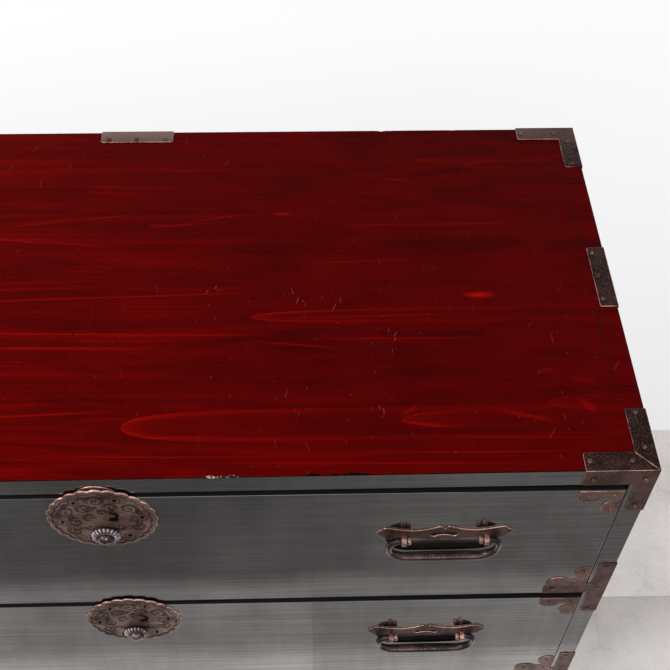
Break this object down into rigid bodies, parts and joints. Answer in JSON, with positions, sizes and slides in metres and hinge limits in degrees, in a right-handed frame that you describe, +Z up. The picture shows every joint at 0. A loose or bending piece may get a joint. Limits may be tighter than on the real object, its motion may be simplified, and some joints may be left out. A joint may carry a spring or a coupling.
{
  "type": "clothing chest of drawers",
  "caption": "Low lacquered clothing chest with full-width drawers, iron corner plates, round lock plates with push buttons, and swinging bail handles.",
  "frame": {"origin": "centre of the chest's base, on the plane it stands on", "axes": "+X along the width to the right seen from the front, +Y towards the back, +Z up; the drawers open towards -Y"},
  "size_m": [0.9336, 0.4399, 0.8422],
  "materials": {
    "red_lacquer": "deep red transparent lacquer",
    "black_lacquer": "mirror-gloss black lacquer",
    "bare_wood": "plain planed softwood",
    "patinated_iron": "dark brown patinated wrought iron",
    "worn_steel": "worn grey steel"
  },
  "bodies": {
    "carcase": {"top_board": "red_lacquer", "bottom_board": "black_lacquer", "side_boards": "black_lacquer", "back_boards": "bare_wood", "drawer_rails": "black_lacquer", "drawer_runners": "bare_wood", "top_corner_irons": "patinated_iron", "bottom_corner_irons": "patinated_iron", "tee_irons": "patinated_iron", "edge_straps": "patinated_iron", "carcase_nails": "patinated_iron", "strike_plate": "patinated_iron", "carrying_handle_plates": "patinated_iron", "carrying_handle_posts": "patinated_iron"},
    "drawer_1": {"drawer_1_front": "black_lacquer", "drawer_1_walls": "bare_wood", "drawer_1_bottom": "bare_wood", "drawer_1_corner_irons": "patinated_iron", "drawer_1_lock_plate": "patinated_iron", "drawer_1_handle_plates": "patinated_iron", "drawer_1_handle_posts": "patinated_iron"},
    "drawer_1_left_bail": {"drawer_1_left_bail": "patinated_iron"},
    "drawer_1_right_bail": {"drawer_1_right_bail": "patinated_iron"},
    "drawer_1_button": {"drawer_1_lock_button": "worn_steel"},
    "drawer_1_bolt": {"drawer_1_lock_bolt": "worn_steel"},
    "drawer_2": {"drawer_2_front": "black_lacquer", "drawer_2_walls": "bare_wood", "drawer_2_bottom": "bare_wood", "drawer_2_corner_irons": "patinated_iron", "drawer_2_lock_plate": "patinated_iron", "drawer_2_handle_plates": "patinated_iron", "drawer_2_handle_posts": "patinated_iron"},
    "drawer_2_left_bail": {"drawer_2_left_bail": "patinated_iron"},
    "drawer_2_right_bail": {"drawer_2_right_bail": "patinated_iron"},
    "drawer_2_button": {"drawer_2_lock_button": "worn_steel"},
    "drawer_2_bolt": {"drawer_2_lock_bolt": "worn_steel"},
    "drawer_3": {"drawer_3_front": "black_lacquer", "drawer_3_walls": "bare_wood", "drawer_3_bottom": "bare_wood", "drawer_3_corner_irons": "patinated_iron", "drawer_3_lock_plate": "patinated_iron", "drawer_3_handle_plates": "patinated_iron", "drawer_3_handle_posts": "patinated_iron"},
    "drawer_3_left_bail": {"drawer_3_left_bail": "patinated_iron"},
    "drawer_3_right_bail": {"drawer_3_right_bail": "patinated_iron"},
    "drawer_3_button": {"drawer_3_lock_button": "worn_steel"},
    "drawer_3_bolt": {"drawer_3_lock_bolt": "worn_steel"},
    "drawer_4": {"drawer_4_front": "black_lacquer", "drawer_4_walls": "bare_wood", "drawer_4_bottom": "bare_wood", "drawer_4_corner_irons": "patinated_iron", "drawer_4_lock_plate": "patinated_iron", "drawer_4_handle_plates": "patinated_iron", "drawer_4_handle_posts": "patinated_iron"},
    "drawer_4_left_bail": {"drawer_4_left_bail": "patinated_iron"},
    "drawer_4_right_bail": {"drawer_4_right_bail": "patinated_iron"},
    "drawer_4_button": {"drawer_4_lock_button": "worn_steel"},
    "drawer_4_bolt": {"drawer_4_lock_bolt": "worn_steel"},
    "left_carrying_bail": {"left_carrying_bail": "patinated_iron"},
    "right_carrying_bail": {"right_carrying_bail": "patinated_iron"}
  },
  "joints": [
    {"name": "drawer_1_slide", "type": "slide", "parent": "carcase", "child": "drawer_1", "axis": [0, -1, 0], "range_m": [0, 0.3]},
    {"name": "drawer_1_left_bail_hinge", "type": "hinge", "parent": "drawer_1", "child": "drawer_1_left_bail", "pos_m": [-0.289, -0.2187, 0.746], "axis": [-1, 0, 0], "range_deg": [0, 175]},
    {"name": "drawer_1_right_bail_hinge", "type": "hinge", "parent": "drawer_1", "child": "drawer_1_right_bail", "pos_m": [0.289, -0.2187, 0.746], "axis": [-1, 0, 0], "range_deg": [0, 175]},
    {"name": "drawer_1_button_push", "type": "slide", "parent": "drawer_1", "child": "drawer_1_button", "axis": [0, 1, 0], "range_m": [0, 0.004]},
    {"name": "drawer_1_bolt_throw", "type": "slide", "parent": "drawer_1", "child": "drawer_1_bolt", "axis": [0, 0, 1], "range_m": [0, 0.012]},
    {"name": "drawer_2_slide", "type": "slide", "parent": "carcase", "child": "drawer_2", "axis": [0, -1, 0], "range_m": [0, 0.3]},
    {"name": "drawer_2_left_bail_hinge", "type": "hinge", "parent": "drawer_2", "child": "drawer_2_left_bail", "pos_m": [-0.289, -0.2187, 0.544], "axis": [-1, 0, 0], "range_deg": [0, 175]},
    {"name": "drawer_2_right_bail_hinge", "type": "hinge", "parent": "drawer_2", "child": "drawer_2_right_bail", "pos_m": [0.289, -0.2187, 0.544], "axis": [-1, 0, 0], "range_deg": [0, 175]},
    {"name": "drawer_2_button_push", "type": "slide", "parent": "drawer_2", "child": "drawer_2_button", "axis": [0, 1, 0], "range_m": [0, 0.004]},
    {"name": "drawer_2_bolt_throw", "type": "slide", "parent": "drawer_2", "child": "drawer_2_bolt", "axis": [0, 0, 1], "range_m": [0, 0.012]},
    {"name": "drawer_3_slide", "type": "slide", "parent": "carcase", "child": "drawer_3", "axis": [0, -1, 0], "range_m": [0, 0.3]},
    {"name": "drawer_3_left_bail_hinge", "type": "hinge", "parent": "drawer_3", "child": "drawer_3_left_bail", "pos_m": [-0.289, -0.2187, 0.33833], "axis": [-1, 0, 0], "range_deg": [0, 175]},
    {"name": "drawer_3_right_bail_hinge", "type": "hinge", "parent": "drawer_3", "child": "drawer_3_right_bail", "pos_m": [0.289, -0.2187, 0.33833], "axis": [-1, 0, 0], "range_deg": [0, 175]},
    {"name": "drawer_3_button_push", "type": "slide", "parent": "drawer_3", "child": "drawer_3_button", "axis": [0, 1, 0], "range_m": [0, 0.004]},
    {"name": "drawer_3_bolt_throw", "type": "slide", "parent": "drawer_3", "child": "drawer_3_bolt", "axis": [0, 0, 1], "range_m": [0, 0.012]},
    {"name": "drawer_4_slide", "type": "slide", "parent": "carcase", "child": "drawer_4", "axis": [0, -1, 0], "range_m": [0, 0.3]},
    {"name": "drawer_4_left_bail_hinge", "type": "hinge", "parent": "drawer_4", "child": "drawer_4_left_bail", "pos_m": [-0.289, -0.2187, 0.13267], "axis": [-1, 0, 0], "range_deg": [0, 175]},
    {"name": "drawer_4_right_bail_hinge", "type": "hinge", "parent": "drawer_4", "child": "drawer_4_right_bail", "pos_m": [0.289, -0.2187, 0.13267], "axis": [-1, 0, 0], "range_deg": [0, 175]},
    {"name": "drawer_4_button_push", "type": "slide", "parent": "drawer_4", "child": "drawer_4_button", "axis": [0, 1, 0], "range_m": [0, 0.004]},
    {"name": "drawer_4_bolt_throw", "type": "slide", "parent": "drawer_4", "child": "drawer_4_bolt", "axis": [0, 0, 1], "range_m": [0, 0.012]},
    {"name": "left_carrying_bail_hinge", "type": "hinge", "parent": "carcase", "child": "left_carrying_bail", "pos_m": [-0.4616, 0, 0.65], "axis": [0, 1, 0], "range_deg": [0, 175]},
    {"name": "right_carrying_bail_hinge", "type": "hinge", "parent": "carcase", "child": "right_carrying_bail", "pos_m": [0.4616, 0, 0.65], "axis": [0, -1, 0], "range_deg": [0, 175]}
  ],
  "couplings": [
    {"joint": "drawer_1_bolt_throw", "follows": "drawer_1_button_push", "ratio": 3},
    {"joint": "drawer_2_bolt_throw", "follows": "drawer_2_button_push", "ratio": 3},
    {"joint": "drawer_3_bolt_throw", "follows": "drawer_3_button_push", "ratio": 3},
    {"joint": "drawer_4_bolt_throw", "follows": "drawer_4_button_push", "ratio": 3}
  ]
}
